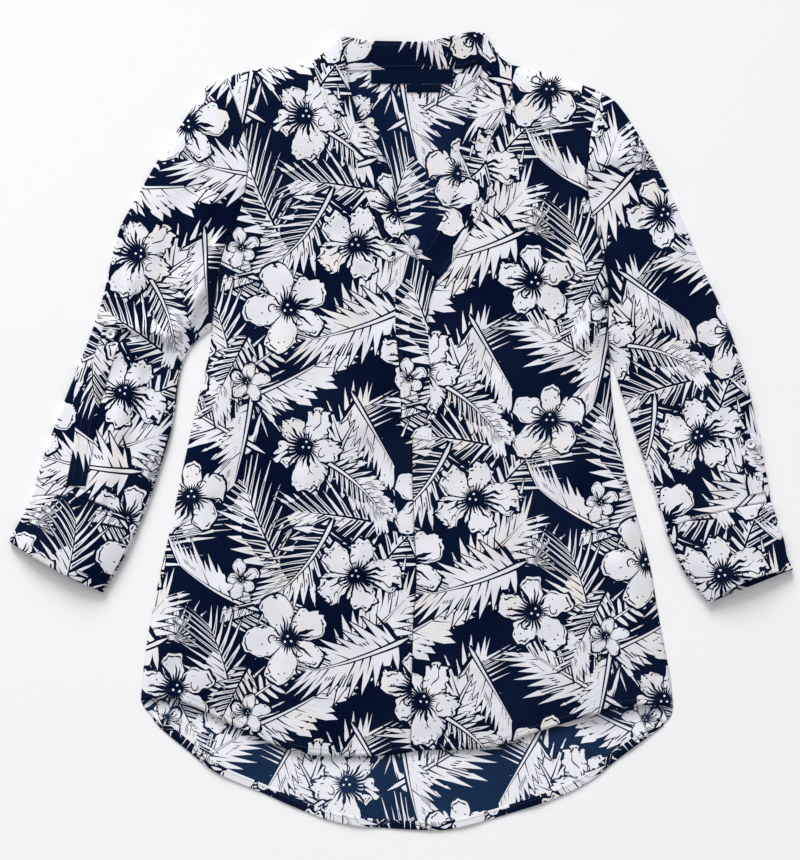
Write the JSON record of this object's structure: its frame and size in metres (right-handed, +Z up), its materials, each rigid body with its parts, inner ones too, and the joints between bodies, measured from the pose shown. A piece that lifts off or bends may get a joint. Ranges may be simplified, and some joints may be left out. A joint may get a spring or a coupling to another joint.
{
  "type": "hawaiian shirt",
  "caption": "Popover shirt of printed cloth with a band collar, a half placket, rolled cuffs and a long rounded tail, laid flat face up.",
  "frame": {"origin": "middle of the shirt's box on the surface it lies on, under the back panel", "axes": "+Z up from the surface through the cloth, +Y from the hem to the collar, +X to the wearer's left"},
  "size_m": [0.862, 0.8771, 0.01],
  "materials": {
    "printed_cloth": "matte",
    "cloth_inside": "matte",
    "button": "satin",
    "label": "satin",
    "thread": "matte"
  },
  "bodies": {
    "root": {"back": "cloth_inside", "front_right": "printed_cloth", "front_left": "printed_cloth", "collar": "printed_cloth", "placket": "printed_cloth", "back_hem": "printed_cloth", "sleeve_right": "printed_cloth", "sleeve_left": "printed_cloth", "cuff_right": "printed_cloth", "cuff_left": "printed_cloth", "tab_right": "printed_cloth", "tab_left": "printed_cloth", "button_right": "button", "button_left": "button", "neck_label": "label", "size_label": "label"}
  },
  "joints": []
}
